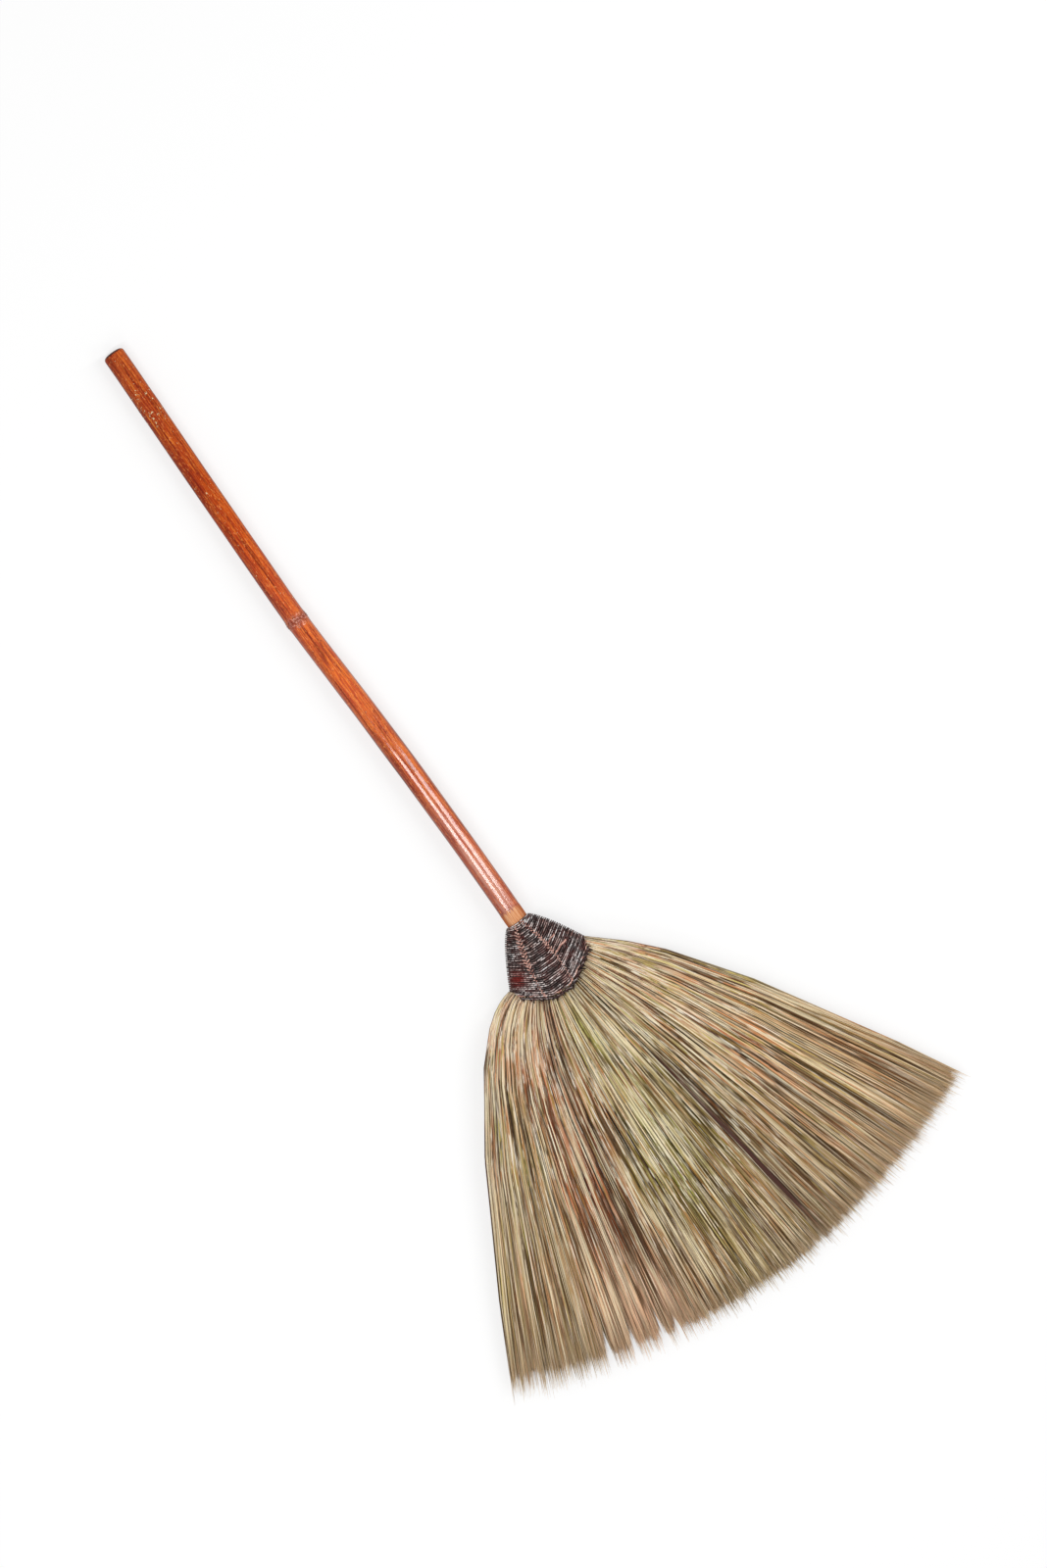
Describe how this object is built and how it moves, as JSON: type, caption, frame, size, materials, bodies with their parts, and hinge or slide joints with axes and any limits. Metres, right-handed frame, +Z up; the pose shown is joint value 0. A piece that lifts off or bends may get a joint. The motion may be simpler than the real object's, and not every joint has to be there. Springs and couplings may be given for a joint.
{
  "type": "straw broom",
  "caption": "Long-handled broom of fine grass spread in a wide flat fan, bound with dark cord onto a varnished cane handle, for sweeping floors.",
  "frame": {"origin": "centre of the whole broom's outline, on the surface it lies on", "axes": "+Y along the handle towards the grip end, +X across the fan, +Z up from the surface through the flat of the fan"},
  "size_m": [0.4878, 1.0123, 0.0369],
  "materials": {
    "cane": "glossy varnish over red-brown cane",
    "bamboo": "bare split bamboo",
    "grass": "dry fine grass, matt with a faint sheen",
    "dark_cord": "dark maroon cord, matt",
    "pink_cord": "pale pink-brown cord, matt"
  },
  "bodies": {
    "root": {"handle": "cane", "handle_peg": "bamboo", "hank_left": "grass", "hank_right": "grass", "hank_front": "grass", "hank_back": "grass", "cord_winding": "dark_cord", "seam_front_left": "pink_cord", "seam_front_right": "pink_cord", "seam_back_left": "pink_cord", "seam_back_right": "pink_cord"}
  },
  "joints": []
}
